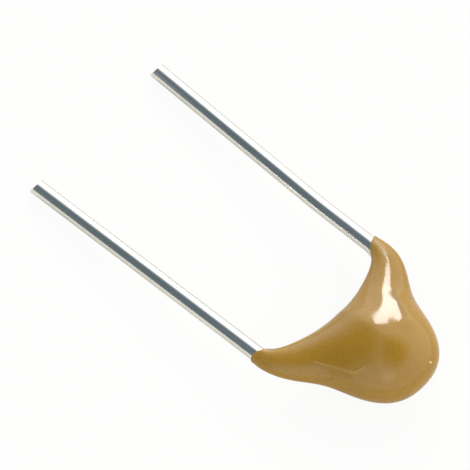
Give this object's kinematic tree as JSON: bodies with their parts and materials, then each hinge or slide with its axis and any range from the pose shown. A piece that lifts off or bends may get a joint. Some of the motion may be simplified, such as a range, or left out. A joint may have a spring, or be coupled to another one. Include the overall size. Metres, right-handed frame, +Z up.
{
  "type": "multilayer ceramic capacitor",
  "caption": "Radial multilayer ceramic capacitor: a droplet of ochre epoxy with swept arms, on two straight tinned wires that splay slightly.",
  "frame": {"origin": "under the middle of the part's bounding box, on the surface that it lies on", "axes": "+X from the wire tips towards the nose of the coating, +Y towards the right wire, +Z up; the part lies on its bulb and its wire tips, tipped 4.4 degrees"},
  "size_m": [0.0138, 0.006, 0.0024],
  "materials": {
    "epoxy": "glossy dipped epoxy, ochre",
    "tinned_wire": "bright tinned copper-clad steel wire",
    "ceramic": "matte fired barium titanate",
    "termination": "matte tin over nickel",
    "solder": "smooth tin solder",
    "electrode": "nickel film"
  },
  "bodies": {
    "root": {"epoxy_coating": "epoxy", "lead_left": "tinned_wire", "lead_right": "tinned_wire", "ceramic_chip": "ceramic", "termination_left": "termination", "termination_right": "termination", "solder_left": "solder", "solder_right": "solder", "electrode_left_1": "electrode", "electrode_left_2": "electrode", "electrode_left_3": "electrode", "electrode_left_4": "electrode", "electrode_left_5": "electrode", "electrode_left_6": "electrode", "electrode_right_1": "electrode", "electrode_right_2": "electrode", "electrode_right_3": "electrode", "electrode_right_4": "electrode", "electrode_right_5": "electrode", "electrode_right_6": "electrode"}
  },
  "joints": []
}
